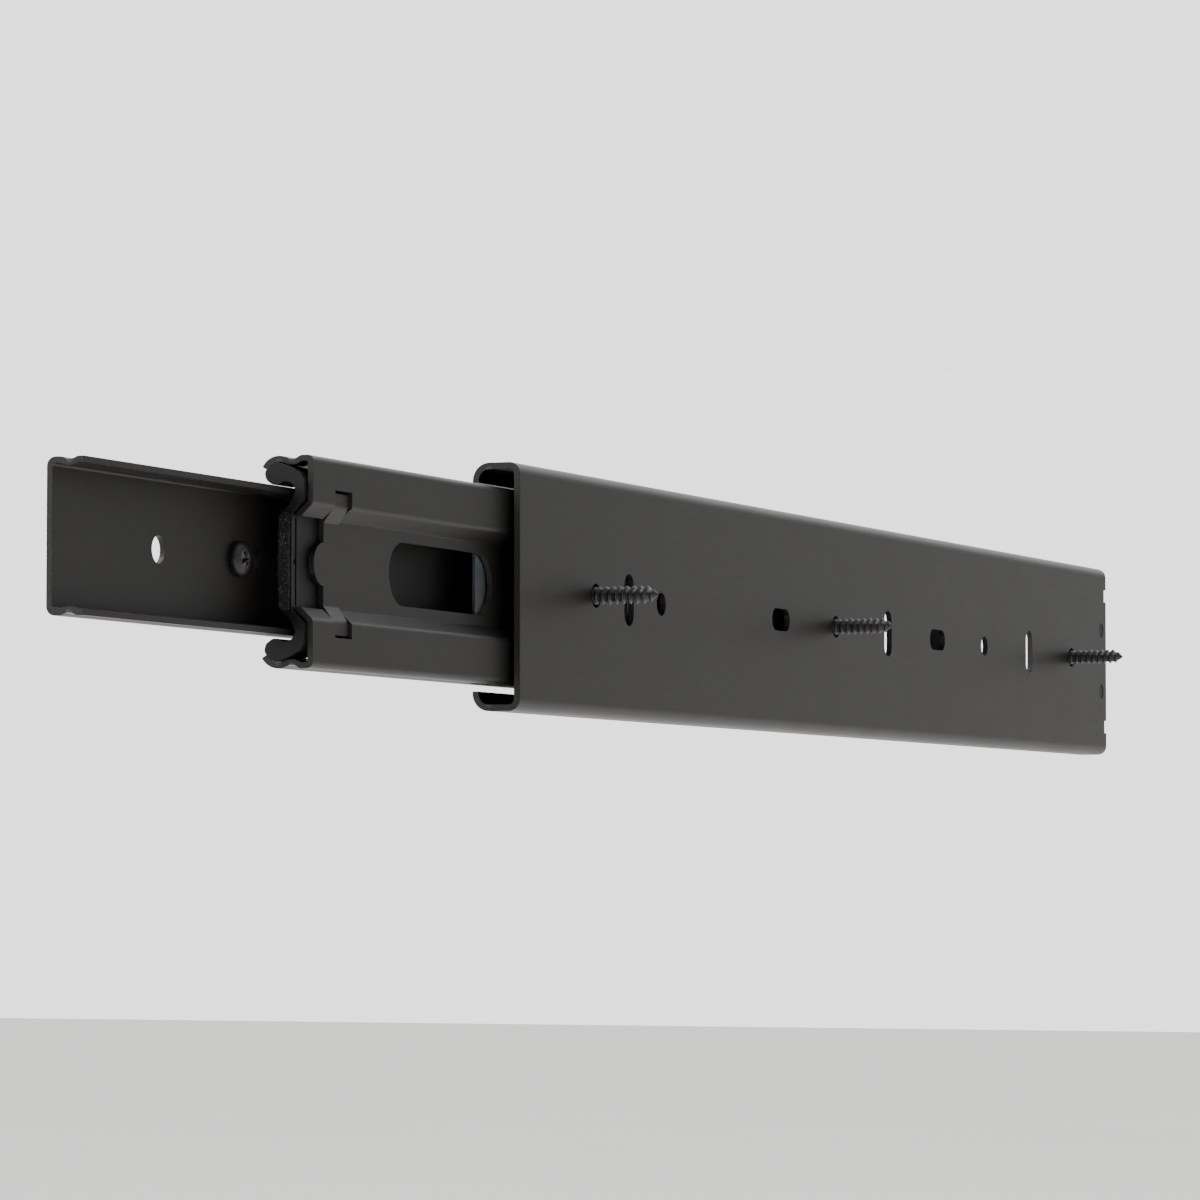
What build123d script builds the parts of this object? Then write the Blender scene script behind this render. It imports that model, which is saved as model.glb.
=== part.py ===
from build123d import *
import math
import os

# Three-section ball-bearing drawer slide, right-hand side, drawn partly open.
# X points at the cabinet wall, -Y is the way the drawer opens, Z is up. The origin is on the
# cabinet member's mounting face, at mid height, on its front end. Sections are drawn in (u, v):
# u is the depth from the cabinet face towards the drawer (u = -x) and v is the height.

os.makedirs("parts", exist_ok=True)

# ---- driving dimensions, mm: overall sizes ------------------------------------------------------
SLIDE_LENGTH = 350.0          # cabinet and drawer members
INTERMEDIATE_LENGTH = 340.0
SLIDE_THICKNESS = 12.7        # cabinet face to drawer face
SLIDE_HALF_HEIGHT = 22.75     # half of the cabinet member's height
INTERMEDIATE_HALF = 18.0
DRAWER_HALF = 12.45

CABINET_SHEET = 1.2
RAIL_SHEET = 1.0              # intermediate and drawer members
OUTER_CAGE_SHEET = 0.5
INNER_CAGE_SHEET = 0.7

INTERMEDIATE_FACE_U = 2.2     # outer faces of the intermediate's bands and of its web
INTERMEDIATE_WEB_U = 4.6
DRAWER_WEB_U = SLIDE_THICKNESS - RAIL_SHEET   # inner face of the drawer member's web

# ---- balls --------------------------------------------------------------------------------------
OUTER_BALL_R = 2.0
OUTER_BALL_AT = (6.2, 19.47)  # (u, v) of the outer rows
INNER_BALL_R = 2.4
INNER_BALL_AT = (8.7, 14.5)
BALL_PLAY = 0.08              # between ball and track
POCKET_PLAY = 0.15            # between ball and cage
BALLS_IN_ROW = 11

# ---- how far the slide is drawn out -------------------------------------------------------------
INTERMEDIATE_CLOSED_Y = 2.0   # where the intermediate's front end stands when the drawer is shut
INTERMEDIATE_OUT = 82.0       # how far the intermediate is drawn out of the cabinet member here
DRAWER_OUT = 70.0             # how far the drawer member is drawn out of the intermediate here
INTERMEDIATE_Y = INTERMEDIATE_CLOSED_Y - INTERMEDIATE_OUT      # front end of the intermediate
DRAWER_Y = -INTERMEDIATE_OUT - DRAWER_OUT                      # front end of the drawer member

# each cage follows its rails at half their travel
OUTER_CAGE_LENGTH = 140.0
OUTER_CAGE_Y = 99.5 - INTERMEDIATE_OUT / 2
INNER_CAGE_LENGTH = 135.0
INNER_CAGE_Y = INTERMEDIATE_Y + 108.5 - DRAWER_OUT / 2

# ---- holes, measured from each rail's own front end ---------------------------------------------
SCREW_HOLE_R = 2.3
SCREW_SLOT_LENGTH = 10.0
CABINET_SCREWS_Y = (35.0, 163.0, 323.0)
CABINET_ROUND_HOLES = CABINET_SCREWS_Y + (67.0, 259.0)
CABINET_SLOTS = ((51.0, True), (131.0, False), (195.0, True), (227.0, False), (291.0, True))
DRAWER_SCREWS_Y = (62.5, 174.5, 270.5)
DRAWER_ROUND_HOLES = DRAWER_SCREWS_Y + (35.0, 291.0)
DRAWER_SLOTS = ((99.0, False), (256.0, True), (313.0, False))
DRAWER_BUTTON_Y = 71.5        # a locating button half-sheared out of the web
ACCESS_SLOT_LENGTH, ACCESS_SLOT_WIDTH = 43.4, 11.2
ACCESS_SLOTS = (56.15, INTERMEDIATE_LENGTH - 56.15)
ACCESS_HOLES = (115.0, 147.0, 187.0, 219.0)

# ---- front end of the intermediate and its insert -----------------------------------------------
WEB_FRONT = 8.8               # the web is cut back this far behind the insert
WEB_CUT_HALF = 7.7
TONGUE_R = 3.7
TAB_REAR = 14.6               # the lanced tabs start at the web's front edge
TAB_TIP = 12.05
TAB_SINK = 0.5                # how far a tab is set in from its band
INSERT_NOSE = 1.0             # how far the insert stands in front of the steel
LEDGE_U = 5.75                # the insert's ledge, under the web
LEDGE_BACK_U = 8.2
LEDGE_HALF = 8.9
BUMPER_U = 6.0
BUMPER_HALF = 8.4
BUMPER_DEPTH = 1.6
CATCH_REAR = 14.0

# ---- release lever, from the drawer member's front end ------------------------------------------
LEVER_HOOK = 191.3
LEVER_PIVOT = 215.0
LEVER_REAR = 246.0
LEVER_U, LEVER_BACK_U = 8.6, 11.4
PIVOT_R = 2.0
PIVOT_PLAY = 0.06

# ---- stops and screws ---------------------------------------------------------------------------
STOP_PIN_R = 1.75
PRESS_PLAY = 0.02             # round the stubs and rivets that are pressed into the steel
STOP_FRONT = INTERMEDIATE_CLOSED_Y + INTERMEDIATE_LENGTH + 0.3
CABINET_STOP_PINS = ((SLIDE_LENGTH - 4.0, -7.5), (SLIDE_LENGTH - 4.0, 7.5))
BUMPER_PIN_Y = DRAWER_Y + SLIDE_LENGTH - 8.0
BUMPER_PINS = (-4.5, 4.5)
HEAD_R, HEAD_H = 3.0, 1.85
SHANK = 14.0

PAST = 1.0                    # how far a cutter runs past the face that it cuts

SECTION = Plane(origin=(0, 0, 0), x_dir=(-1, 0, 0), z_dir=(0, 1, 0))
SIDE = Plane(origin=(0, 0, 0), x_dir=(0, 1, 0), z_dir=(1, 0, 0))


# ---- drawing helpers ----------------------------------------------------------------------------
def prism(section, y0, y1):
    """A (u, v) section carried along the slide from y0 to y1."""
    return extrude(SECTION.offset(y0) * section, amount=y1 - y0)


def through(outline, u0, u1):
    """An outline in the (y, z) side view, solid between the depths u0 and u1."""
    return extrude(SIDE.offset(-u1) * outline, amount=u1 - u0)


def both_halves(half):
    """A symmetric bent section from its upper half, which runs from the upper end to the middle."""
    return half + [(p[0], -p[1], *p[2:]) for p in reversed(half)]


def along(start, angle, distance):
    """The point at this distance from the start, in the direction of the angle."""
    a = math.radians(angle)
    return (start[0] + distance * math.cos(a), start[1] + distance * math.sin(a))


def sheet_face(path, thickness):
    """Section of a bent sheet. The path is its mid-line: a plain (u, v) at each end, and between
    them (u, v, radius) for each bend, the centre that it is rolled about. A bend to the left has a
    positive radius. Neighbouring bends are joined by the flat that touches both."""
    bends = [(p[0], p[1], p[2] if len(p) == 3 else 0.0) for p in path]
    headings = []
    for (u0, v0, r0), (u1, v1, r1) in zip(bends, bends[1:]):
        rise = max(-1.0, min(1.0, (r1 - r0) / math.hypot(u1 - u0, v1 - v0)))
        headings.append(math.atan2(v1 - v0, u1 - u0) - math.asin(rise))

    def touch(bend, heading, shift):
        reach = bend[2] - shift
        return (bend[0] + reach * math.sin(heading), bend[1] - reach * math.cos(heading))

    edges, ends = [], []
    for shift in (thickness / 2, -thickness / 2):
        for i, heading in enumerate(headings):
            a, b = touch(bends[i], heading, shift), touch(bends[i + 1], heading, shift)
            if math.dist(a, b) > 1e-4:
                edges.append(Line(a, b))
        for bend, before, after in zip(bends[1:-1], headings, headings[1:]):
            turn = (after - before + math.pi) % (2 * math.pi) - math.pi
            first = before if turn > 0 else after
            quarter = -90 if bend[2] - shift > 0 else 90
            start = math.degrees(first) + quarter
            edges.append(CenterArc(bend[:2], abs(bend[2] - shift), start, math.degrees(abs(turn))))
        ends.append((touch(bends[0], headings[0], shift), touch(bends[-1], headings[-1], shift)))
    edges += [Line(ends[0][0], ends[1][0]), Line(ends[0][1], ends[1][1])]
    return make_face(edges)


def block(y0, y1, z0, z1):
    """A rectangle in the side view."""
    return Pos((y0 + y1) / 2, (z0 + z1) / 2) * Rectangle(y1 - y0, z1 - z0)


def disc(y, z, radius):
    """A circle in the side view."""
    return Pos(y, z) * Circle(radius)


def slot(y, z, length, width, upright=False):
    """A round-ended slot in the side view."""
    return Pos(y, z) * SlotOverall(length, width, rotation=90 if upright else 0)


def moulded(corners, radius=0.3):
    """A moulded piece's section or outline with its corners eased. A corner that is eased by
    something other than the usual radius carries its own as a third number."""
    face = make_face(Polyline(*[c[:2] for c in corners], close=True))
    eased = [(c[:2], c[2] if len(c) == 3 else radius) for c in corners]
    for size in sorted({r for _, r in eased}):
        places = [p for p, r in eased if r == size]
        picked = [v for v in face.vertices() if any(math.dist((v.X, v.Y), p) < 1e-3 for p in places)]
        face = fillet(picked, size)
    return face


def mirrored(part):
    """The same piece below the slide's mid height."""
    return mirror(part, about=Plane.XY)


# ---- the three rails ----------------------------------------------------------------------------
def cabinet_member():
    """C section that screws to the cabinet side. Its flanges curl round the outer balls."""
    track = OUTER_BALL_R + BALL_PLAY + CABINET_SHEET / 2
    top = SLIDE_HALF_HEIGHT - CABINET_SHEET / 2
    lip, corner = 0.35, 1.6
    u, v = OUTER_BALL_AT
    half = [
        (u + track, v - lip),
        (u, top - track, track),
        (CABINET_SHEET / 2 + corner, top - corner, corner),
    ]
    rail = prism(sheet_face(both_halves(half), CABINET_SHEET), 0, SLIDE_LENGTH)
    low, high = -PAST, CABINET_SHEET + PAST
    for y in CABINET_ROUND_HOLES:
        rail -= through(disc(y, 0, SCREW_HOLE_R), low, high)
    for y, upright in CABINET_SLOTS:
        rail -= through(slot(y, 0, SCREW_SLOT_LENGTH, 2 * SCREW_HOLE_R, upright), low, high)
    for y, z in CABINET_STOP_PINS:
        rail -= through(disc(y, z, STOP_PIN_R + PRESS_PLAY), low, high)
    # a small square notch in the rear edge of the web, above and below the stop
    notch, notch_z = 1.5, 16.0
    for z in (-notch_z, notch_z):
        rail -= through(block(SLIDE_LENGTH - notch, SLIDE_LENGTH + PAST, z - notch, z + notch), low, high)
    return rail


def tab_cut(y0):
    """Side view of what is lanced out of the upper band round its tab: a slit in front of it, over
    its tip and behind it, and the place of the tab itself."""
    slit, tip_slit, slit_end, root = 0.35, 0.5, 9.6, 7.0
    front, rear, top = y0 + WEB_FRONT - slit, y0 + TAB_REAR, TAB_TIP + tip_slit
    return make_face(Polyline(
        (front - 0.15, root), (front, slit_end), (front, top), (rear + slit, top),
        (rear + slit, slit_end), (rear, slit_end), (rear, root),
        close=True,
    ))


def tab(y0):
    """The upper tab: set in from the band, then ramped down into the web."""
    band = INTERMEDIATE_FACE_U + RAIL_SHEET / 2 + TAB_SINK
    web = INTERMEDIATE_WEB_U + RAIL_SHEET / 2
    bend, corner = 0.8, 0.6
    path = [(band, TAB_TIP), (band + bend, 10.1, bend), (web - bend, 7.0, -bend), (web, 6.4)]
    front, rear = y0 + WEB_FRONT, y0 + TAB_REAR
    outline = moulded([(front, 0, 0.1), (rear, 0, 0.1), (rear, TAB_TIP), (front, TAB_TIP)], corner)
    return prism(sheet_face(path, RAIL_SHEET), front, rear) & through(outline, 0, SLIDE_THICKNESS)


def intermediate_member():
    """The middle rail. Each edge is an S: a groove outside for the outer balls and a curled lip
    inside for the inner ones. The web stands deeper than the two bands, across a bent step."""
    groove = OUTER_BALL_R + BALL_PLAY + RAIL_SHEET / 2
    lip = math.dist(OUTER_BALL_AT, INNER_BALL_AT) - groove
    top = INTERMEDIATE_HALF - RAIL_SHEET / 2
    shoulder, corner, step = 1.0, 0.62, 0.65
    band = INTERMEDIATE_FACE_U + RAIL_SHEET / 2
    web = INTERMEDIATE_WEB_U + RAIL_SHEET / 2
    u, v = OUTER_BALL_AT
    rise = v - (top - shoulder)
    shoulder_u = u - math.sqrt((groove + shoulder) ** 2 - rise**2)
    lip_angle, lip_flat = 30, 0.1
    lip_end = along(INNER_BALL_AT, lip_angle, lip)
    half = [
        along(lip_end, lip_angle - 90, lip_flat),
        (*INNER_BALL_AT, lip),
        (u, v, -groove),
        (shoulder_u, top - shoulder, shoulder),
        (band + corner, top - corner, corner),
        (band + step, 10.30, step),
        (web - step, 7.50, -step),
    ]
    y0 = INTERMEDIATE_Y
    rail = prism(sheet_face(both_halves(half), RAIL_SHEET), y0, y0 + INTERMEDIATE_LENGTH)
    low, high = INTERMEDIATE_FACE_U - PAST, INTERMEDIATE_WEB_U + RAIL_SHEET + PAST

    # the web is cut back behind the front insert and keeps a round tongue in the middle
    cut_back = block(y0 - PAST, y0 + WEB_FRONT, -WEB_CUT_HALF, WEB_CUT_HALF)
    rail -= through(cut_back - disc(y0 + WEB_FRONT, 0, TONGUE_R), low, high)
    # a tab is lanced free of each band and set inwards
    window = through(tab_cut(y0), low, high)
    rail -= window
    rail -= mirrored(window)
    rail += tab(y0)
    rail += mirrored(tab(y0))

    for y in ACCESS_SLOTS:
        rail -= through(slot(y0 + y, 0, ACCESS_SLOT_LENGTH, ACCESS_SLOT_WIDTH), low, high)
    # round clearance holes between the slots let a screwdriver reach the cabinet screws
    for y in ACCESS_HOLES:
        rail -= through(disc(y0 + y, 0, ACCESS_SLOT_WIDTH / 2), low, high)
    return rail


def drawer_member():
    """Channel that screws to the drawer side. Each flange is rolled to a shallow groove that the
    inner balls run in, and its cut edge faces the cabinet."""
    groove = INNER_BALL_R + BALL_PLAY + RAIL_SHEET / 2
    top = DRAWER_HALF - RAIL_SHEET / 2
    web = SLIDE_THICKNESS - RAIL_SHEET / 2
    bend, edge_u = 1.0, 6.2
    u, v = INNER_BALL_AT
    reach = math.sqrt((groove + bend) ** 2 - (v - (top - bend)) ** 2)
    half = [
        (edge_u, top),
        (u - reach, top - bend, -bend),
        (u, v, groove),
        (u + reach, top - bend, -bend),
        (web - bend, top - bend, -bend),
    ]
    y0 = DRAWER_Y
    rail = prism(sheet_face(both_halves(half), RAIL_SHEET), y0, y0 + SLIDE_LENGTH)
    low, high = DRAWER_WEB_U - PAST, SLIDE_THICKNESS + PAST
    for y in DRAWER_ROUND_HOLES:
        rail -= through(disc(y0 + y, 0, SCREW_HOLE_R), low, high)
    for y, upright in DRAWER_SLOTS:
        rail -= through(slot(y0 + y, 0, SCREW_SLOT_LENGTH, 2 * SCREW_HOLE_R, upright), low, high)
    rail -= through(disc(y0 + LEVER_PIVOT, 0, PIVOT_R + PRESS_PLAY), low, high)
    for z in BUMPER_PINS:
        rail -= through(disc(BUMPER_PIN_Y, z, STOP_PIN_R + PRESS_PLAY), low, high)
    # the button stands up inside the channel and leaves a shallow dimple in the drawer face
    button_r, button_rise, dimple_depth = 2.2, 0.5, 0.45
    button = disc(y0 + DRAWER_BUTTON_Y, 0, button_r)
    rail += through(button, DRAWER_WEB_U - button_rise, DRAWER_WEB_U + button_rise)
    rail -= through(button, SLIDE_THICKNESS - dimple_depth, high)
    return rail


# ---- plastic end pieces of the intermediate -----------------------------------------------------
def hook_section():
    """Upper C-shaped hook, which fills the rail's curled edge, and the arm that joins it to the
    ledge."""
    nose = 1.0
    corners = [
        (8.60, 16.85, nose), (6.15, 16.05), (4.10, 14.90), (3.35, 13.75), (3.35, 10.45), (5.75, 8.30),
        (5.75, 6.50), (7.20, 6.50), (7.20, 8.70), (6.20, 9.60), (5.60, 10.60), (5.05, 11.90),
        (5.35, 12.80), (6.20, 13.45), (7.30, 13.55), (8.20, 12.98, nose), (9.30, 12.98, nose),
        (10.55, 13.85, nose), (10.85, 15.10, nose), (9.90, 16.45, nose),
    ]
    return moulded(corners, 0.25)


def front_insert():
    """Black plastic end piece. Hooks fill the rail's edges, a ledge runs from one to the other
    under the web, and two arms reach back behind the bands, past the lanced tabs."""
    y0 = INTERMEDIATE_Y
    front, hook_rear, ledge_rear, arm_rear = y0 - INSERT_NOSE, y0 + 5.6, y0 + 10.0, y0 + 19.0
    hook = prism(hook_section(), front, hook_rear)
    body = hook + mirrored(hook)
    end_round = 1.4
    ledge = [
        (LEDGE_U, -LEDGE_HALF), (LEDGE_BACK_U, -LEDGE_HALF, end_round),
        (LEDGE_BACK_U, LEDGE_HALF, end_round), (LEDGE_U, LEDGE_HALF),
    ]
    body += prism(moulded(ledge, 0.2), front, ledge_rear)

    # the catch that the release lever stops against lies behind the ledge, below mid height
    catch_back_u, catch_low, catch_high = 9.4, -6.5, 0.1
    catch = block(ledge_rear - PAST, y0 + CATCH_REAR, catch_low, catch_high)
    body += through(catch, LEDGE_U, catch_back_u)

    # each arm lies behind the slit over a tab's tip and closes it
    arm = [(3.35, 12.85), (3.9, 12.3), (3.9, 11.6), (4.75, 11.6), (4.75, 15.2), (4.1, 14.9), (3.35, 13.75)]
    arm = prism(moulded(arm, 0.15), hook_rear - PAST, arm_rear)
    body += arm + mirrored(arm)

    # a line is moulded across the ledge's face near its front edge, with a notch at mid height
    line_y, line_width, line_half, line_depth = y0 + 0.3, 0.6, 7.4, 0.4
    line = block(line_y, line_y + line_width, -line_half, line_half)
    body -= through(line, LEDGE_U - PAST, LEDGE_U + line_depth)
    notch_r = 0.55
    body -= through(disc(line_y, 0, notch_r), LEDGE_U - PAST, LEDGE_U + 2 * line_depth)

    # seat of the soft bumper
    seat = block(front - PAST, front + BUMPER_DEPTH, -BUMPER_HALF, BUMPER_HALF)
    body -= through(seat, BUMPER_U, LEDGE_BACK_U + PAST)
    return body


def front_bumper():
    """Soft strip across the insert's front end, slightly crowned, which the drawer front closes
    against."""
    front = INTERMEDIATE_Y - INSERT_NOSE
    play, crown, round_end = 0.03, 0.45, 0.9
    inner_u, half = BUMPER_U + play, BUMPER_HALF - play
    section = moulded(
        [
            (inner_u, half), (inner_u, -half),
            (LEDGE_BACK_U, -half, round_end), (LEDGE_BACK_U, half, round_end),
        ],
        0.3,
    )
    rear = front + BUMPER_DEPTH - play
    face = ThreePointArc((front, half), (front - crown, 0), (front, -half))
    side = make_face([face, Polyline((front, -half), (rear, -half), (rear, half), (front, half))])
    return prism(section, front - crown, rear) & through(side, inner_u - PAST, LEDGE_BACK_U + PAST)


def intermediate_rear_guide():
    """Plastic end piece in the intermediate's rear end. It stops the inner ball cage."""
    rear = INTERMEDIATE_Y + INTERMEDIATE_LENGTH
    length, inset, ledge_half, ledge_back_u = 12.0, 0.3, 7.8, 7.2
    hook = prism(hook_section(), rear - length, rear - inset)
    ledge = block(rear - length, rear - inset, -ledge_half, ledge_half)
    return hook + mirrored(hook) + through(ledge, LEDGE_U, ledge_back_u)


# ---- ball cages and balls -------------------------------------------------------------------------
def ball_places(start, length):
    """Where a row's balls sit: evenly spaced, the first and last a little in from the cage's ends."""
    end_margin = 7.0
    pitch = (length - 2 * end_margin) / (BALLS_IN_ROW - 1)
    return [start + end_margin + i * pitch for i in range(BALLS_IN_ROW)]


def cage(half, sheet, start, length, ball_at, ball_r, tilt):
    """A rolled strip with a pocket for every ball. tilt turns the pockets square to the strip."""
    strip = prism(sheet_face(both_halves(half), sheet), start, start + length)
    drill_length = 3.2
    drill = Cylinder(ball_r + POCKET_PLAY, drill_length)
    for y in ball_places(start, length):
        for side in (-1, 1):
            at = Pos(-ball_at[0], y, side * ball_at[1])
            strip -= at * Rotation(0, side * tilt, 0) * drill
    return strip


def outer_cage():
    """Runs between the cabinet member and the intermediate. Its web stands off to clear the
    cabinet screws, and its edges lean out through the gap between the two rails."""
    lean, edge = 19.2, 3.2
    band, web, bend, corner = 1.7, 3.9, 0.6, 0.8
    u, v = OUTER_BALL_AT
    a = math.radians(180 - lean)
    corner_u = band + corner
    corner_v = v + (-corner - (corner_u - u) * math.sin(a)) / -math.cos(a)
    half = [
        along((u, v), -lean, edge),
        (corner_u, corner_v, corner),
        (band + bend, 9.75, bend),
        (web - bend, 7.0, -bend),
    ]
    return cage(half, OUTER_CAGE_SHEET, OUTER_CAGE_Y, OUTER_CAGE_LENGTH, (u, v), OUTER_BALL_R, lean)


def inner_cage():
    """Runs between the intermediate and the drawer member."""
    edge_u, band, web, corner, bend = 11.85, 3.85, 6.2, 0.9, 0.8
    u, v = INNER_BALL_AT
    half = [
        (edge_u, v),
        (band + corner, v - corner, corner),
        (band + bend, 10.83, bend),
        (web - bend, 8.07, -bend),
    ]
    return cage(half, INNER_CAGE_SHEET, INNER_CAGE_Y, INNER_CAGE_LENGTH, (u, v), INNER_BALL_R, 0)


def balls(u, v, radius, places):
    """One row of loose balls."""
    return Compound([Pos(-u, y, v) * Sphere(radius) for y in places])


# ---- release lever on the drawer member ------------------------------------------------------------
def release_lever():
    """Moulded lever that swings up in the drawer member's channel to clear the front insert's
    catch. A hook in front of the pivot, a thumb pad behind it, and a curved spring arm on top."""
    hook, pivot, rear = DRAWER_Y + LEVER_HOOK, DRAWER_Y + LEVER_PIVOT, DRAWER_Y + LEVER_REAR
    pad = rear - 8.0
    outline = moulded(
        [
            (hook, -4.3), (hook, -0.6), (hook + 3.2, 0.6), (pivot - 8.0, 2.4), (pivot, 4.6),
            (pivot + 7.0, 3.0), (pad - 1.0, 2.2), (pad, 3.4), (rear, 3.4), (rear, -3.4), (pad, -3.4),
            (pad - 1.0, -2.2), (pivot + 7.0, -2.6), (pivot, -4.6), (pivot - 8.0, -2.6), (hook + 5.0, -4.3),
        ],
        0.5,
    )
    lever = through(outline, LEVER_U, LEVER_BACK_U)
    boss_r, sink_r, sink_depth = 4.4, 4.0, 0.7
    lever += through(disc(pivot, 0, boss_r), LEVER_U + sink_depth, DRAWER_WEB_U - 0.05)
    # the top is sunk round the rivet's head
    lever -= through(disc(pivot, 0, sink_r), LEVER_U - PAST, LEVER_U + sink_depth)
    # a long pocket keeps the moulding's walls even, and the thumb pad is ribbed
    pocket_depth = 1.4
    lever -= through(slot(pivot + 15.0, 0, 15.0, 2.4), LEVER_U - PAST, LEVER_U + pocket_depth)
    rib_pitch, rib_gap, rib_half, rib_depth = 1.6, 0.6, 2.8, 0.4
    for i in range(4):
        y = rear - (i + 1) * rib_pitch
        lever -= through(block(y, y + rib_gap, -rib_half, rib_half), LEVER_U - PAST, LEVER_U + rib_depth)
    # spring arm: a thin leaf that leaves the body and curls towards the upper flange
    leaf = sheet_face([(pivot - 3.0, 3.4), (pivot - 7.0, 4.0, -2.0), (pivot - 18.5, 6.4)], 0.9)
    lever += through(leaf, LEVER_U + 0.4, LEVER_BACK_U - 0.2)
    lever -= through(disc(pivot, 0, PIVOT_R + PIVOT_PLAY), LEVER_U - PAST, SLIDE_THICKNESS)
    return lever


def lever_pivot_rivet():
    """Semi-tubular rivet, set flush in the drawer face."""
    y = DRAWER_Y + LEVER_PIVOT
    head_r, head_u, head_back_u, head_round = 3.6, LEVER_U - 0.35, LEVER_U + 0.55, 0.5
    dimple_r, dimple_depth = 1.1, 0.8
    rivet = through(disc(y, 0, PIVOT_R), head_back_u - 0.2, SLIDE_THICKNESS)
    head = through(disc(y, 0, head_r), head_u, head_back_u)
    head = fillet(head.edges().filter_by(GeomType.CIRCLE).sort_by(Axis.X)[-1], head_round)
    dimple = through(disc(y, 0, dimple_r), SLIDE_THICKNESS - dimple_depth, SLIDE_THICKNESS + PAST)
    return rivet + head - dimple


# ---- stops at the rear ------------------------------------------------------------------------------
def cabinet_rear_stop():
    """Plastic block in the rear end of the cabinet member. The intermediate shuts against its
    shoulders and the drawer member's bumper against its post."""
    half, back_u, post_back_u, post_depth, post_half = 14.5, 5.6, 10.0, 3.5, 4.5
    outline = block(STOP_FRONT, SLIDE_LENGTH, -half, half)
    body = through(fillet(outline.vertices(), 0.8), CABINET_SHEET, back_u)
    post = block(SLIDE_LENGTH - post_depth, SLIDE_LENGTH, -post_half, post_half)
    body += through(fillet(post.vertices(), 0.5), back_u - 0.6, post_back_u)
    # a pocket in each shoulder
    wall, pocket_low, pocket_high, pocket_u = 1.25, 9.3, 12.3, 3.0
    for side in (-1, 1):
        low, high = sorted((side * pocket_low, side * pocket_high))
        pocket = block(STOP_FRONT + wall, SLIDE_LENGTH - 2 * wall, low, high)
        body -= through(pocket, pocket_u, back_u + PAST)
    for y, z in CABINET_STOP_PINS:
        body += through(disc(y, z, STOP_PIN_R), 0.1, CABINET_SHEET + 0.8)
    return body


def drawer_rear_bumper():
    """Rubber block on two stubs pressed through the drawer member's web, near its rear end."""
    rear = DRAWER_Y + SLIDE_LENGTH - 3.8
    length, half, top_u = 9.0, 7.5, 8.6
    outline = block(rear - length, rear, -half, half)
    body = through(fillet(outline.vertices(), 1.2), top_u, DRAWER_WEB_U)
    # a slot across the top lets the block squash
    body -= through(slot(rear - 4.2, 0, 7.5, 2.2, True), top_u - PAST, top_u + 1.8)
    for z in BUMPER_PINS:
        body += through(disc(BUMPER_PIN_Y, z, STOP_PIN_R), DRAWER_WEB_U - 0.7, SLIDE_THICKNESS - 0.1)
    return body


# ---- screws -------------------------------------------------------------------------------------------
def pan_screw():
    """Cross-recess pan-head screw, head up, with its bearing face at z = 0."""
    neck, crest, core, pitch, turns = 1.7, 1.75, 1.25, 1.4, 7
    neck_end, tip = 1.2, 2.2
    thread = [(neck, 0), (neck, -neck_end), (core, -neck_end - 0.4)]
    for i in range(turns):
        z = -neck_end - pitch / 2 - i * pitch
        thread += [(core, z), (crest, z - pitch / 5), (core, z - 2 * pitch / 5)]
    thread += [(core, tip - SHANK), (0, -SHANK)]
    shank = make_face(Polyline((0, 0.5), (neck, 0.5), *thread, close=True))
    rim = 0.55
    dome = ThreePointArc((HEAD_R, rim), (HEAD_R * 0.80, HEAD_H * 0.82), (0, HEAD_H))
    head = make_face([Polyline((0, HEAD_H), (0, 0), (HEAD_R, 0), (HEAD_R, rim)), dome])
    turned = revolve(Plane.XZ * (head + shank), Axis.Z)
    wing_length, wing_width, recess_depth = 3.2, 0.72, 1.2
    wing = Rectangle(wing_length, wing_width) + Rectangle(wing_width, wing_length)
    recess = extrude(Pos(0, 0, HEAD_H - recess_depth) * wing, amount=recess_depth + PAST)
    return turned - recess


def screws(places, bearing_u, towards_cabinet):
    """A row of the same screw, each left at the angle that it was driven to."""
    turn = 90 if towards_cabinet else -90
    fixed = pan_screw()
    first_angle, next_angle = 23.0, 31.0
    group = []
    for i, y in enumerate(places):
        spin = Rotation(0, 0, first_angle + next_angle * i)
        group.append(Pos(-bearing_u, y, 0) * Rotation(0, turn, 0) * spin * fixed)
    return Compound(group)


# ---- build --------------------------------------------------------------------------------------------
outer_places = ball_places(OUTER_CAGE_Y, OUTER_CAGE_LENGTH)
inner_places = ball_places(INNER_CAGE_Y, INNER_CAGE_LENGTH)
outer_u, outer_v = OUTER_BALL_AT
inner_u, inner_v = INNER_BALL_AT

nodes = {
    "cabinet_member": cabinet_member(),
    "cabinet_screws": screws(CABINET_SCREWS_Y, CABINET_SHEET, False),
    "cabinet_rear_stop": cabinet_rear_stop(),
    "outer_ball_cage": outer_cage(),
    "outer_balls_upper": balls(outer_u, outer_v, OUTER_BALL_R, outer_places),
    "outer_balls_lower": balls(outer_u, -outer_v, OUTER_BALL_R, outer_places),
    "intermediate_member": intermediate_member(),
    "front_insert": front_insert(),
    "front_bumper": front_bumper(),
    "intermediate_rear_guide": intermediate_rear_guide(),
    "inner_ball_cage": inner_cage(),
    "inner_balls_upper": balls(inner_u, inner_v, INNER_BALL_R, inner_places),
    "inner_balls_lower": balls(inner_u, -inner_v, INNER_BALL_R, inner_places),
    "drawer_member": drawer_member(),
    "drawer_screws": screws([DRAWER_Y + y for y in DRAWER_SCREWS_Y], DRAWER_WEB_U, True),
    "drawer_rear_bumper": drawer_rear_bumper(),
    "release_lever": release_lever(),
    "lever_pivot_rivet": lever_pivot_rivet(),
}

for name, shape in nodes.items():
    export_step(shape, f"parts/{name}.step")
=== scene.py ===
import math
import random

import bpy
from mathutils import Matrix, Vector


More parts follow.
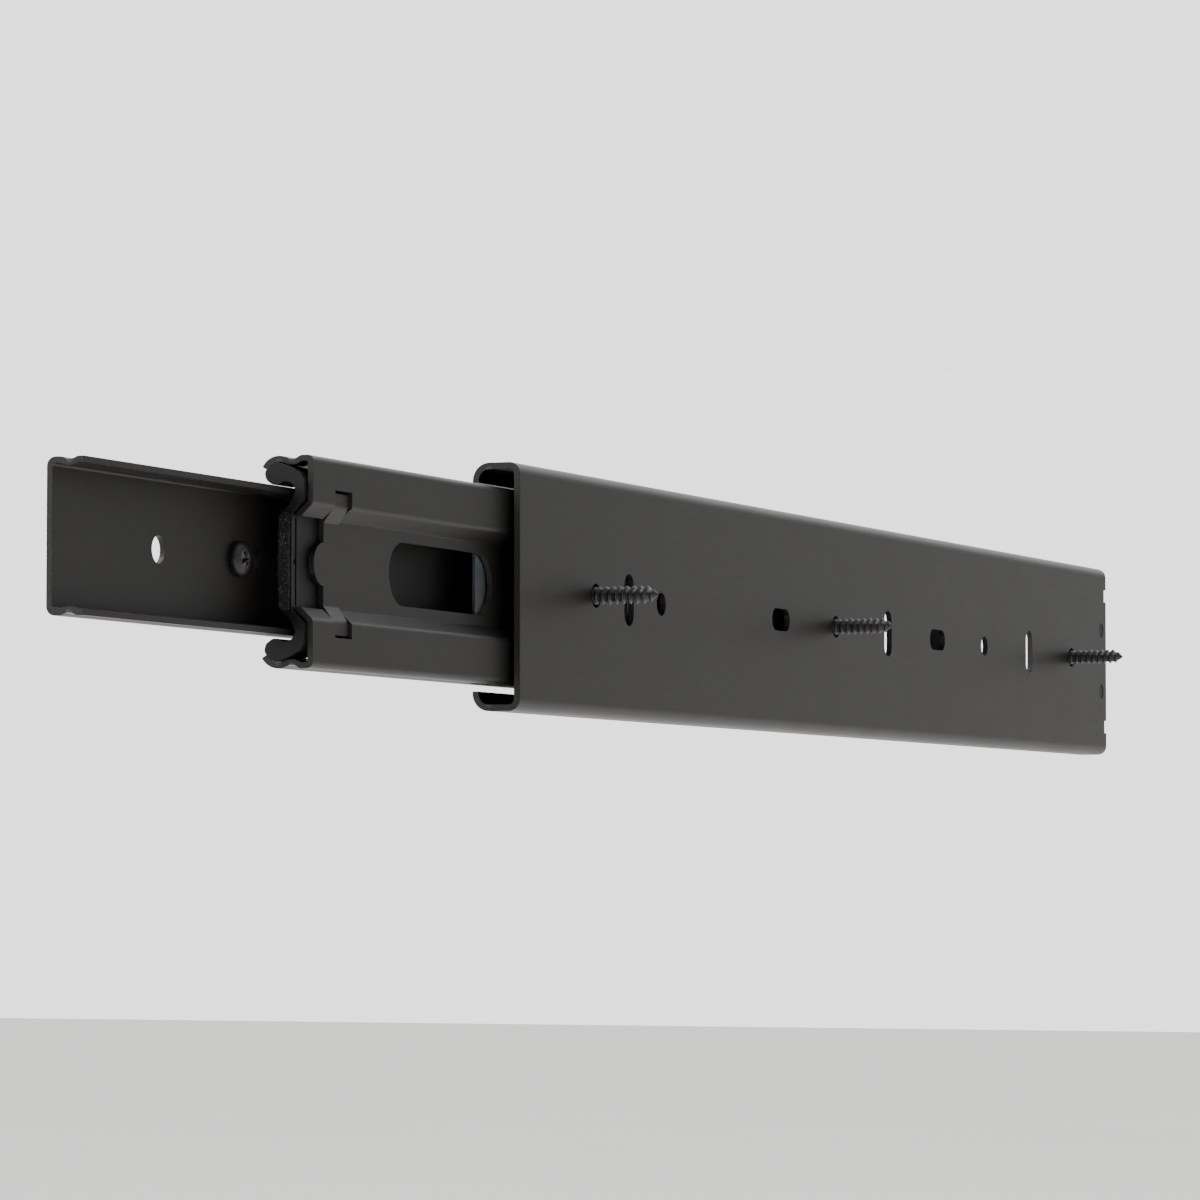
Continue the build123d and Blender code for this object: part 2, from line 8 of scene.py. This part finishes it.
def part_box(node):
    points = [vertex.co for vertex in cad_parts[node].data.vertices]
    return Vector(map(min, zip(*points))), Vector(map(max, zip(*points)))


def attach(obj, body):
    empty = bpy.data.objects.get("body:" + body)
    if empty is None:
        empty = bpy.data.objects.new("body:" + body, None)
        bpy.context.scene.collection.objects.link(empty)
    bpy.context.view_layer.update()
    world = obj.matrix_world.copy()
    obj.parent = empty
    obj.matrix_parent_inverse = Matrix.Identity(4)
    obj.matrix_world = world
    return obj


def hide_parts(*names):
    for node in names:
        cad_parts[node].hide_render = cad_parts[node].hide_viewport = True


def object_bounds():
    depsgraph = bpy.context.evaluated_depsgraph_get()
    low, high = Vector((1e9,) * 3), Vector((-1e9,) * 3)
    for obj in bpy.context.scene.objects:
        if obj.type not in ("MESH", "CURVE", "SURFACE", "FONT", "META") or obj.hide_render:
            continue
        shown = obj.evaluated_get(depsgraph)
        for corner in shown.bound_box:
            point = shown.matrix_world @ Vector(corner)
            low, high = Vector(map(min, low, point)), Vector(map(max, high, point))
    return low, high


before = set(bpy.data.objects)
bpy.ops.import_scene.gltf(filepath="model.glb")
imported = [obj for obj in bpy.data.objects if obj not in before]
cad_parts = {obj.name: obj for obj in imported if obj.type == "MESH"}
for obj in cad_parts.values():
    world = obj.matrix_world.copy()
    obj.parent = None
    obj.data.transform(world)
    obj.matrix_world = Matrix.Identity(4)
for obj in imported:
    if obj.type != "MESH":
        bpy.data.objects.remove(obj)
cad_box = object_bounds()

# Every length below is in millimetres unless its name ends in _M; the frame itself is in metres.
MM = 0.001


# ---- cabinet, intermediate and drawer rails -------------------------------------------------------
# Three roll-formed channels of cold-rolled steel strip, pierced and cropped in a press, then dipped
# and baked in a black electrophoretic coat: a thin satin film with a faint orange peel over the
# long draw lines of the rolls. Balls run in their curled edges and burnish a line along each track.
class Value:
    """A shader socket that works in sums: an expression on values adds its own Math nodes."""

    def __init__(self, finish, socket):
        self.finish, self.socket = finish, socket

    def maths(self, operation, first, second=0.0):
        return self.finish.node("ShaderNodeMath", {"operation": operation}, {0: first, 1: second})

    def __add__(self, other):
        return self.maths("ADD", self, other)

    __radd__ = __add__

    def __sub__(self, other):
        return self.maths("SUBTRACT", self, other)

    def __rsub__(self, other):
        return self.maths("SUBTRACT", other, self)

    def __mul__(self, other):
        return self.maths("MULTIPLY", self, other)

    __rmul__ = __mul__

    def __truediv__(self, other):
        return self.maths("DIVIDE", self, other)

    def __pow__(self, other):
        return self.maths("POWER", self, other)

    def __abs__(self):
        return self.maths("ABSOLUTE", self)

    def most(self, other):
        return self.maths("MAXIMUM", self, other)

    def least(self, other):
        return self.maths("MINIMUM", self, other)

    def sine(self):
        return self.maths("SINE", self)


class Finish:
    """A surface finish: one material, and the ways of drawing on it in millimetres."""

    def __init__(self, name, **constants):
        self.material = bpy.data.materials.new(name)
        self.material.use_nodes = True
        self.nodes = self.material.node_tree.nodes
        self.links = self.material.node_tree.links
        self.shader = self.nodes["Principled BSDF"]
        for socket, value in constants.items():
            self.shader.inputs[socket.replace("_", " ")].default_value = value
        self.place = self.node(
            "ShaderNodeVectorMath", {"operation": "SCALE"},
            {0: self.node("ShaderNodeTexCoord", out="Object"), "Scale": 1 / MM},
        )
        self.facing = self.node("ShaderNodeTexCoord", out="Normal")

    def put(self, socket, value):
        """Links a value to a socket, or sets a constant on it."""
        if isinstance(value, Value):
            self.links.new(value.socket, socket)
        elif hasattr(value, "__len__") and len(value) == 3 and socket.type == "RGBA":
            socket.default_value = (*value, 1)
        else:
            socket.default_value = value

    def node(self, kind, settings=None, sockets=None, out=0):
        """Adds a node with these settings and socket values, and gives one of its outputs."""
        made = self.nodes.new(kind)
        for name, value in (settings or {}).items():
            setattr(made, name, value)
        for name, value in (sockets or {}).items():
            self.put(made.inputs[name], value)
        return Value(self, made.outputs[out])

    def parts(self, vector):
        """The x, y and z of a vector."""
        made = self.node("ShaderNodeSeparateXYZ", sockets={0: vector})
        return [Value(self, socket) for socket in made.socket.node.outputs]

    def noise(self, size, stretch=(1, 1, 1), detail=2.0, roughness=0.5):
        """Noise with grains of about this size, drawn out by stretch."""
        grain = [size * s for s in stretch]
        at = self.node("ShaderNodeVectorMath", {"operation": "DIVIDE"}, {0: self.place, 1: grain})
        sockets = {"Vector": at, "Scale": 1.0, "Detail": detail, "Roughness": roughness}
        return self.node("ShaderNodeTexNoise", {"noise_dimensions": "3D"}, sockets, "Fac")

    def pits(self, size):
        """Distance from the middle of the nearest of many cells of about this size, 0 to about 1."""
        at = self.node("ShaderNodeVectorMath", {"operation": "DIVIDE"}, {0: self.place, 1: [size] * 3})
        return self.node("ShaderNodeTexVoronoi", {}, {"Vector": at, "Scale": 1.0}, "Distance")

    def between(self, value, low, high, to_low=0.0, to_high=1.0):
        """A soft step from to_low to to_high as the value goes from low to high."""
        sockets = {"Value": value, "From Min": low, "From Max": high, "To Min": to_low, "To Max": to_high}
        return self.node("ShaderNodeMapRange", {"interpolation_type": "SMOOTHSTEP"}, sockets)

    def colour(self, share, first, second):
        """The first colour, with this share of the second mixed in."""
        return self.node("ShaderNodeMix", {"data_type": "RGBA"}, {0: share, 6: first, 7: second}, 2)

    def finish(self, colour, roughness, relief, depth, edge=0.0, metal=None):
        """Wires the shader. relief, 0 to about 1, stands for depth mm; edges are eased by edge mm."""
        bump = {"Height": relief, "Distance": depth * MM, "Strength": 1.0}
        if edge:
            bump["Normal"] = self.node("ShaderNodeBevel", {"samples": 4}, {"Radius": edge * MM})
        self.put(self.shader.inputs["Base Color"], colour)
        self.put(self.shader.inputs["Roughness"], roughness)
        self.put(self.shader.inputs["Normal"], self.node("ShaderNodeBump", {}, bump))
        if metal is not None:
            self.put(self.shader.inputs["Metallic"], metal)
        return self.material


def coat(node, material):
    """Gives a CAD node its finish."""
    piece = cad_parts[node]
    piece.data.materials.clear()
    piece.data.materials.append(material)


FILM = (0.0074, 0.0071, 0.0065)
FILM_HAZY = tuple(c * 1.45 for c in FILM)
FILM_THIN = (0.030, 0.029, 0.027)     # over a sheared edge the film draws back
BURNISHED = (0.060, 0.060, 0.062)
LINT = (0.13, 0.13, 0.125)
STRIP_DRAW = (1, 70, 1)               # draw lines run along the slide
DRAW_LINE, WIDE_LINE, PEEL, CLOUD, LINT_SIZE = 0.16, 1.3, 0.85, 17.0, 0.19
TRACK_EDGE, TRACK_CORE = 0.85, 0.35   # distances from a track's middle
FILM_RELIEF, SHEET_EDGE = 0.011, 0.10


def electrocoat(name, tracks):
    """tracks are the (depth from the cabinet face, height) of the lines that balls run on."""
    film = Finish(name, Specular_IOR_Level=0.25)
    x, _, z = film.parts(film.place)
    facing_end = abs(film.parts(film.facing)[1])
    cut_end = film.between(facing_end, 0.80, 0.95)
    draw_lines = film.noise(DRAW_LINE, STRIP_DRAW, 3.0)
    wide_lines = film.noise(WIDE_LINE, STRIP_DRAW, 1.0)
    peel = film.noise(PEEL, detail=2.0)
    cloud = film.noise(CLOUD, detail=3.0)
    lint = film.between(film.noise(LINT_SIZE, detail=0.0), 0.775, 0.83)
    burnish = 0.0
    for depth, height in tracks:
        away = ((x + depth) ** 2 + (abs(z) - height) ** 2) ** 0.5
        burnish = film.between(away, TRACK_EDGE, TRACK_CORE).most(burnish)
    hazy = film.between(cloud, 0.35, 0.70, to_high=0.5)
    thin = cut_end * film.between(draw_lines, 0.40, 0.66, 0.15, 0.9)
    worn = burnish * film.between(draw_lines, 0.35, 0.60, 0.25, 0.9)
    shade = film.colour(hazy, FILM, FILM_HAZY)
    shade = film.colour(thin, shade, FILM_THIN)
    shade = film.colour(lint * 0.25, shade, LINT)
    shade = film.colour(worn, shade, BURNISHED)
    roughness = 0.335 + 0.10 * draw_lines + 0.07 * cloud + 0.18 * cut_end + 0.12 * lint - 0.17 * burnish
    relief = 0.30 * peel + 0.22 * draw_lines + 0.30 * wide_lines + 0.25 * cut_end * draw_lines
    return film.finish(shade, roughness, relief, FILM_RELIEF, edge=SHEET_EDGE)


# where the upper rows of balls run: the depth and height of their middle line, and their radius
outer_low, outer_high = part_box("outer_balls_upper")
inner_low, inner_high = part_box("inner_balls_upper")
outer_depth, outer_height = (-(outer_low.x + outer_high.x) / 2 / MM, (outer_low.z + outer_high.z) / 2 / MM)
inner_depth, inner_height = (-(inner_low.x + inner_high.x) / 2 / MM, (inner_low.z + inner_high.z) / 2 / MM)
outer_r = (outer_high.z - outer_low.z) / 2 / MM
inner_r = (inner_high.z - inner_low.z) / 2 / MM

# each rail's tracks lie on the side of the balls that it holds
TRACKS = {
    "cabinet": [(outer_depth, outer_height + outer_r)],
    "intermediate": [(outer_depth, outer_height - outer_r), (inner_depth, inner_height + inner_r)],
    "drawer": [(inner_depth, inner_height - inner_r)],
}
for rail, tracks in TRACKS.items():
    coat(f"{rail}_member", electrocoat(f"electrocoat_{rail}", tracks))


# ---- screws --------------------------------------------------------------------------------------
# Cold-headed pan-head screws with a cross recess and a rolled single-start thread, blackened in an
# oxide bath and oiled. Three hold the cabinet rail to the wall of the cabinet, heads inside the
# rail, and three hold the drawer rail to the drawer's side.
HEAD_R, HEAD_H, HEAD_RIM = 2.98, 1.85, 0.55
NECK_R, NECK_LENGTH = 1.68, 1.3
CREST_R, CORE_R, PITCH = 1.74, 1.22, 1.4
SHANK, POINT = 14.0, 2.6
RIDGE_HALF = 0.24             # half of the ridge's foot, as a share of the pitch
RUN_IN, RUN_OUT = 0.9, 0.8 * POINT    # lengths over which the thread grows and dies away
NECK_TAPER = 0.35
DOME_POWER = 2.6              # how flat the head's dome is
UNDER_ROUND = 0.12            # rounding under the head's edge
ROUND_STEPS, STEPS_PER_TURN, HEAD_ROWS = 48, 14, 14
RECESS_DEPTH = 1.25
# each level of the recess: a wing's reach and half its width
RECESS_FLOOR, RECESS_MOUTH, MOUTH_ABOVE = (0.62, 0.24), (1.72, 0.42), 0.4
RECESS_SHARP = 38             # degrees


def shank_radius(depth, turned):
    """The screw's radius at this depth below its head and this share of a turn round it."""
    to_point = min(1.0, (SHANK - depth) / POINT)
    core = CORE_R * math.sin(to_point * math.pi / 2) ** 0.8
    phase = (depth / PITCH - turned) % 1.0
    ridge = max(0.0, 1 - abs(phase - 0.5) / RIDGE_HALF)
    run_in = min(1.0, max(0.0, (depth - NECK_LENGTH + 0.2) / RUN_IN))
    run_out = min(1.0, (SHANK - depth) / RUN_OUT)
    threaded = core + (CREST_R - CORE_R) * ridge * run_in * run_out
    neck = max(0.0, 1 - max(0.0, depth - NECK_LENGTH) / NECK_TAPER)
    return max(threaded, NECK_R * neck)


def head_radius(height):
    """Pan head: a short upright rim, then a flattened dome."""
    if height <= HEAD_RIM:
        return HEAD_R
    up = (height - HEAD_RIM) / (HEAD_H - HEAD_RIM)
    return HEAD_R * (1 - up**DOME_POWER) ** 0.5


def screw_mesh():
    """The screw without its recess, on +Z, its head's underside at 0: rings from the point up."""
    rings = []
    rows = int(SHANK / PITCH * STEPS_PER_TURN)
    for i in range(1, rows + 1):
        depth = SHANK * (1 - i / rows)
        rings.append([(shank_radius(depth, j / ROUND_STEPS), -depth) for j in range(ROUND_STEPS)])
    for r, z in ((HEAD_R - UNDER_ROUND, 0.0), (HEAD_R - 0.03, UNDER_ROUND * 0.4), (HEAD_R, 0.16)):
        rings.append([(r, z)] * ROUND_STEPS)
    for i in range(HEAD_ROWS):
        z = HEAD_RIM + (HEAD_H - HEAD_RIM) * math.sin(i / HEAD_ROWS * math.pi / 2)
        rings.append([(head_radius(z), z)] * ROUND_STEPS)
    points = [(0, 0, -SHANK)]
    for ring in rings:
        for j, (r, z) in enumerate(ring):
            a = 2 * math.pi * j / ROUND_STEPS
            points.append((r * math.cos(a), r * math.sin(a), z))
    points.append((0, 0, HEAD_H))
    top = len(points) - 1
    faces = []
    for j in range(ROUND_STEPS):
        k = (j + 1) % ROUND_STEPS
        faces.append((0, 1 + k, 1 + j))
        for i in range(len(rings) - 1):
            low, high = 1 + i * ROUND_STEPS, 1 + (i + 1) * ROUND_STEPS
            faces.append((low + j, low + k, high + k, high + j))
        last = 1 + (len(rings) - 1) * ROUND_STEPS
        faces.append((last + j, last + k, top))
    return mesh_of("screw", points, faces)


def mesh_of(name, points, faces):
    """A mesh of points in millimetres."""
    mesh = bpy.data.meshes.new(name)
    mesh.from_pydata([[c * MM for c in p] for p in points], [], faces)
    mesh.validate()
    mesh.update()
    return mesh


def recess_mesh():
    """The cross recess as a solid: four wings that narrow and close in towards the bottom."""
    points = []
    for z, (reach, half) in ((HEAD_H - RECESS_DEPTH, RECESS_FLOOR), (HEAD_H + MOUTH_ABOVE, RECESS_MOUTH)):
        for quarter in range(4):
            a = quarter * math.pi / 2
            for along, across in ((reach, -half), (reach, half), (half, half)):
                points.append((
                    along * math.cos(a) - across * math.sin(a),
                    along * math.sin(a) + across * math.cos(a), z,
                ))
    count = len(points) // 2
    faces = [tuple(reversed(range(count))), tuple(range(count, 2 * count))]
    faces += [(i, (i + 1) % count, count + (i + 1) % count, count + i) for i in range(count)]
    return mesh_of("recess", points, faces)


def placed(name, mesh):
    """A new object in the scene."""
    piece = bpy.data.objects.new(name, mesh)
    bpy.context.scene.collection.objects.link(piece)
    return piece


def applied(piece):
    """The piece's mesh with its modifiers worked in."""
    seen = piece.evaluated_get(bpy.context.evaluated_depsgraph_get())
    mesh = bpy.data.meshes.new_from_object(seen)
    piece.modifiers.clear()
    piece.data = mesh
    return mesh


def smooth(mesh, sharp_degrees):
    mesh.polygons.foreach_set("use_smooth", [True] * len(mesh.polygons))
    mesh.set_sharp_from_angle(angle=math.radians(sharp_degrees))


OXIDE_DARK, OXIDE_LIGHT = (0.010, 0.010, 0.011), (0.022, 0.021, 0.020)
RUBBED = (0.16, 0.155, 0.15)
MOTTLE = 0.7


def black_oxide():
    """The thread's crests and the recess are rubbed bright in patches by the driving."""
    oxide = Finish("black_oxide", Specular_IOR_Level=0.45)
    x, y, z = oxide.parts(oxide.place)
    radius = (x * x + y * y) ** 0.5
    mottle = oxide.noise(MOTTLE, detail=4.0)
    crest = oxide.between(radius, CREST_R - 0.12, CREST_R) * oxide.between(z, -0.3, -0.6)
    driven = oxide.between(radius, RECESS_MOUTH[0] + 0.03, 1.2) * oxide.between(z, HEAD_H - 0.7, HEAD_H - 0.1)
    bright = (crest + driven).least(1.0) * oxide.between(mottle, 0.42, 0.62)
    shade = oxide.colour(oxide.between(mottle, 0.3, 0.7), OXIDE_DARK, OXIDE_LIGHT)
    shade = oxide.colour(bright, shade, RUBBED)
    roughness = 0.30 + 0.22 * mottle
    return oxide.finish(shade, roughness, mottle, 0.012, edge=0.05, metal=0.25 + 0.5 * bright)


def solids_along(node, gap=4.0):
    """The (lowest, highest) y of each separate solid in a node whose solids stand along the slide."""
    places = sorted(v.co.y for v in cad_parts[node].data.vertices)
    breaks = [(a, b) for a, b in zip(places, places[1:]) if b - a > gap * MM]
    starts = [places[0]] + [b for _, b in breaks]
    ends = [a for a, _ in breaks] + [places[-1]]
    return list(zip(starts, ends))


def cut_recess(mesh):
    """The screw's mesh with the recess cut into its head."""
    piece, cutter = placed("blank", mesh), placed("cutter", recess_mesh())
    cut = piece.modifiers.new("recess", "BOOLEAN")
    cut.object, cut.operation, cut.solver = cutter, "DIFFERENCE", "EXACT"
    mesh = applied(piece)
    bpy.data.objects.remove(piece)
    bpy.data.objects.remove(cutter)
    smooth(mesh, RECESS_SHARP)
    return mesh


screw = cut_recess(screw_mesh())
screw.materials.append(black_oxide())
FIRST_TURN, NEXT_TURN = 23.0, 31.0       # where each screw stopped turning, in degrees
for node, body, head_side in (("cabinet_screws", "cabinet", -1), ("drawer_screws", "drawer", 1)):
    low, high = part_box(node)
    head_top = low.x if head_side < 0 else high.x
    bearing = head_top - head_side * (high.x - low.x - SHANK * MM)
    for i, (start, end) in enumerate(solids_along(node)):
        piece = placed(f"{node[:-1]}_{i + 1}", screw)
        turn = Matrix.Rotation(math.radians(90 * head_side), 4, "Y")
        spin = Matrix.Rotation(math.radians(FIRST_TURN + NEXT_TURN * i), 4, "Z")
        piece.matrix_world = Matrix.Translation((bearing, (start + end) / 2, 0)) @ turn @ spin
        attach(piece, body)
        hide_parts(node)


# ---- ball cages ----------------------------------------------------------------------------------
# Zinc-plated steel strip, rolled to a shallow channel, with a round pocket pierced for every ball.
# Each one floats between two rails and rolls along at half their travel. Grease from the balls
# dulls it round the pockets.
ZINC_COOL, ZINC_WARM, GREASY = (0.50, 0.56, 0.63), (0.66, 0.67, 0.66), (0.20, 0.185, 0.15)
CAGE_GRAIN, CAGE_HAZE, SPANGLE = 0.11, 6.0, 0.35
POCKETS_FROM, POCKETS_TO = 12.6, 14.2     # how high above the middle the pockets' grease begins


def plated_strip():
    zinc = Finish("plated_strip", Specular_IOR_Level=0.5)
    draw_lines = zinc.noise(CAGE_GRAIN, STRIP_DRAW, 3.0)
    haze = zinc.noise(CAGE_HAZE, (1, 2.5, 1), 4.0)
    spangle = zinc.noise(SPANGLE, detail=1.0)
    height = abs(zinc.parts(zinc.place)[2])
    near_balls = zinc.between(height, POCKETS_FROM, POCKETS_TO)
    grease = zinc.between(haze, 0.50, 0.62) * near_balls
    shade = zinc.colour(zinc.between(haze, 0.35, 0.7), ZINC_COOL, ZINC_WARM)
    shade = zinc.colour(grease * 0.6, shade, GREASY)
    roughness = 0.20 + 0.16 * draw_lines + 0.10 * spangle + 0.12 * grease
    relief = 0.55 * draw_lines + 0.35 * spangle
    return zinc.finish(shade, roughness, relief, 0.008, edge=0.06, metal=1.0 - 0.55 * grease)


strip = plated_strip()
for node in ("outer_ball_cage", "inner_ball_cage"):
    coat(node, strip)


# ---- balls ---------------------------------------------------------------------------------------
# Hardened steel balls, ground and tumbled bright, eleven in a row. A film of amber grease lies on
# part of each one.
GROUND_STEEL, GREASED = (0.72, 0.73, 0.75), (0.42, 0.38, 0.29)
SMEAR, GRINDING = 1.6, 0.12


def bearing_ball():
    steel = Finish("bearing_ball", Specular_IOR_Level=0.5, Coat_Roughness=0.22, Coat_IOR=1.47)
    film = steel.between(steel.noise(SMEAR, detail=3.0), 0.48, 0.60)
    fine = steel.noise(GRINDING, detail=2.0)
    shade = steel.colour(film, GROUND_STEEL, GREASED)
    roughness = 0.07 + 0.05 * fine + 0.20 * film
    material = steel.finish(shade, roughness, 0.7 * film + 0.1 * fine, 0.010, metal=1.0 - 0.25 * film)
    steel.put(steel.shader.inputs["Coat Weight"], 0.7 * film)
    return material


ball = bearing_ball()
for row in ("outer_balls_upper", "outer_balls_lower", "inner_balls_upper", "inner_balls_lower"):
    coat(row, ball)


# ---- plastic pieces ------------------------------------------------------------------------------
# The front insert, the intermediate's rear guide, the cabinet rail's rear stop and the release lever
# are injection-moulded in black acetal with a fine spark-eroded texture. The insert and the guide
# snap into the rolled edges, the stop is staked through the web, and the lever turns on a rivet.
ACETAL_DARK, ACETAL_LIGHT = (0.0050, 0.0050, 0.0052), (0.0090, 0.0088, 0.0085)
SCUFFED = (0.045, 0.045, 0.044)
ERODED_PIT, ERODED_FINE, FLOW_MARK, SCUFF_WIDTH = 0.16, 0.09, 5.0, 0.5


def eroded_acetal(name, plain_roughness):
    """plain_roughness is the moulding's roughness before grain, flow marks and scuffs are added."""
    acetal = Finish(name, Specular_IOR_Level=0.22)
    grain = acetal.pits(ERODED_PIT)
    fine = acetal.noise(ERODED_FINE, detail=2.0)
    flow = acetal.noise(FLOW_MARK, (1, 2, 1), 3.0)
    scuff = acetal.between(acetal.noise(SCUFF_WIDTH, (1, 6, 1), 3.0), 0.63, 0.74)
    shade = acetal.colour(acetal.between(flow, 0.3, 0.7), ACETAL_DARK, ACETAL_LIGHT)
    shade = acetal.colour(scuff * 0.25, shade, SCUFFED)
    roughness = plain_roughness + 0.14 * fine + 0.10 * flow - 0.08 * scuff
    return acetal.finish(shade, roughness, 0.6 * grain + 0.5 * fine, 0.016, edge=0.10)


acetal = eroded_acetal("eroded_acetal", 0.40)
for node in ("front_insert", "intermediate_rear_guide", "cabinet_rear_stop"):
    coat(node, acetal)
coat("release_lever", eroded_acetal("lever_acetal", 0.34))


# ---- rubber pieces -------------------------------------------------------------------------------
# Two soft stops of black thermoplastic rubber: the strip across the insert's front, which the drawer
# front meets, and the block at the drawer rail's rear end. Their skin is open and picks up dust.
RUBBER_DARK, RUBBER_LIGHT = (0.007, 0.007, 0.007), (0.019, 0.0185, 0.018)
DUST = (0.22, 0.22, 0.21)
LUMP, PORE, DUST_GRAIN = 0.42, 0.22, 0.20


def rubber_skin():
    rubber = Finish("rubber_skin", Specular_IOR_Level=0.3)
    lumps = rubber.noise(LUMP, detail=3.0)
    pores = rubber.pits(PORE)
    dust = rubber.between(rubber.noise(DUST_GRAIN, detail=1.0), 0.60, 0.68)
    shade = rubber.colour(lumps, RUBBER_DARK, RUBBER_LIGHT)
    shade = rubber.colour(dust * 0.55, shade, DUST)
    roughness = 0.62 + 0.25 * pores
    return rubber.finish(shade, roughness, 0.7 * lumps + 0.5 * pores, 0.05, edge=0.15)


WAVES = 9                     # crossed waves that the lumps are made of


def worn_skin(node, body, material, voxel, lump_size, lump_depth, seed):
    """The node's own shape, with the lumps and dimples that its soft skin has."""
    piece = placed(f"{node}_skin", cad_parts[node].data.copy())
    cells = piece.modifiers.new("cells", "REMESH")
    cells.mode, cells.voxel_size = "VOXEL", voxel * MM
    mesh = applied(piece)
    drawn = random.Random(seed)
    waves = [
        (Vector([drawn.uniform(-1, 1) for _ in range(3)]).normalized(), drawn.uniform(0, 2 * math.pi))
        for _ in range(WAVES)
    ]
    normals = [v.normal.copy() for v in mesh.vertices]
    for v, normal in zip(mesh.vertices, normals):
        rise = sum(math.sin(v.co.dot(way) / MM / lump_size * 2 * math.pi + start) for way, start in waves)
        v.co += normal * (rise / WAVES - 0.5) * lump_depth * MM
    smooth(mesh, 180)
    mesh.materials.clear()
    mesh.materials.append(material)
    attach(piece, body)
    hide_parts(node)


skin = rubber_skin()
worn_skin("front_bumper", "intermediate", skin, voxel=0.11, lump_size=0.9, lump_depth=0.09, seed=4)
worn_skin("drawer_rear_bumper", "drawer", skin, voxel=0.16, lump_size=1.8, lump_depth=0.05, seed=9)


# ---- lever pivot rivet ---------------------------------------------------------------------------
# A semi-tubular steel rivet, zinc plated and set in a press through the lever and the drawer rail.
# The set leaves faint turned rings on its head.
RIVET_DULL, RIVET_BRIGHT = (0.48, 0.48, 0.50), (0.62, 0.61, 0.58)
RING_STEP, RIVET_HAZE = 0.22, 0.8


def pressed_rivet():
    low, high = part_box("lever_pivot_rivet")
    steel = Finish("pressed_rivet", Specular_IOR_Level=0.5)
    _, y, z = steel.parts(steel.place)
    off_y, off_z = y - (low.y + high.y) / 2 / MM, z - (low.z + high.z) / 2 / MM
    radius = (off_y * off_y + off_z * off_z) ** 0.5
    rings = (radius * 2 * math.pi / RING_STEP).sine()
    haze = steel.noise(RIVET_HAZE, detail=4.0)
    shade = steel.colour(steel.between(haze, 0.35, 0.65), RIVET_DULL, RIVET_BRIGHT)
    roughness = 0.25 + 0.20 * haze
    return steel.finish(shade, roughness, 0.5 + 0.2 * rings + 0.3 * haze, 0.012, edge=0.08, metal=1.0)


coat("lever_pivot_rivet", pressed_rivet())


# ---- studio --------------------------------------------------------------------------------------
# A wide pale floor well below the slide, pale surroundings, and large soft lights. The camera stands
# in front of the slide, on the cabinet wall's side of it and a little below it.
FLOOR_BELOW_M = 0.26
FLOOR_SIZE_M = 12.0
FLOOR_CLOUD = 260.0
FLOOR_DARK, FLOOR_LIGHT = (0.70, 0.69, 0.675), (0.74, 0.735, 0.72)
CAMERA_AT_M = (0.3828, -0.852, -0.054)
AIM_M = Vector((-0.005, 0.0485, 0.0))
LENS = 154.0


def pale_floor():
    floor = Finish("pale_floor", Specular_IOR_Level=0.2)
    cloud = floor.noise(FLOOR_CLOUD, detail=3.0)
    shade = floor.colour(cloud, FLOOR_DARK, FLOOR_LIGHT)
    return floor.finish(shade, 0.72 + 0.1 * cloud, cloud, 0.2)


half = FLOOR_SIZE_M / 2 / MM
corners = [(-half, -half, 0), (half, -half, 0), (half, half, 0), (-half, half, 0)]
ground = placed("floor", mesh_of("floor", corners, [(0, 1, 2, 3)]))
ground.location.z = -FLOOR_BELOW_M
ground.data.materials.append(pale_floor())

# the room is brightest above and on the drawer's side, and dims towards the cabinet's wall
BRIGHTEST_FROM = (-0.75, 0.35, 0.6)
DIM_UNTIL, BRIGHT_AFTER = -0.02, 0.52
DIM, BRIGHT = 0.36, 2.3
world = bpy.data.worlds.new("pale_room")
bpy.context.scene.world = world
world.use_nodes = True
room = world.node_tree
backdrop = room.nodes["Background"]
backdrop.inputs["Color"].default_value = (0.95, 0.95, 0.94, 1)
direction = room.nodes.new("ShaderNodeTexCoord")
towards = room.nodes.new("ShaderNodeVectorMath")
towards.operation = "DOT_PRODUCT"
towards.inputs[1].default_value = BRIGHTEST_FROM
glow = room.nodes.new("ShaderNodeMapRange")
glow.interpolation_type = "SMOOTHSTEP"
GLOW_RANGE = {"From Min": DIM_UNTIL, "From Max": BRIGHT_AFTER, "To Min": DIM, "To Max": BRIGHT}
for socket, value in GLOW_RANGE.items():
    glow.inputs[socket].default_value = value
room.links.new(direction.outputs["Generated"], towards.inputs[0])
room.links.new(towards.outputs["Value"], glow.inputs["Value"])
room.links.new(glow.outputs["Result"], backdrop.inputs["Strength"])

lowest, highest = (Vector(corner) for corner in cad_box)
middle = (lowest + highest) / 2


def softbox(name, offset, size, power):
    """A large square light at this offset from the slide's middle, facing it, in metres and watts."""
    lamp = bpy.data.lights.new(name, "AREA")
    lamp.shape, lamp.size, lamp.energy = "SQUARE", size, power
    light = placed(name, lamp)
    light.location = middle + Vector(offset)
    light.rotation_euler = (-Vector(offset)).to_track_quat("-Z", "Y").to_euler()
    light.visible_camera = False


softbox("light_above", (-0.5, -0.6, 1.3), 1.1, 26)
softbox("light_right", (1.6, 0.2, 0.9), 1.2, 4)
softbox("light_left", (-1.5, -0.5, 0.5), 1.2, 16)

camera = placed("camera", bpy.data.cameras.new("camera"))
camera.location = CAMERA_AT_M
camera.data.lens = LENS
camera.data.clip_start = 0.01
camera.rotation_euler = (AIM_M - Vector(CAMERA_AT_M)).to_track_quat("-Z", "Y").to_euler()
bpy.context.scene.camera = camera
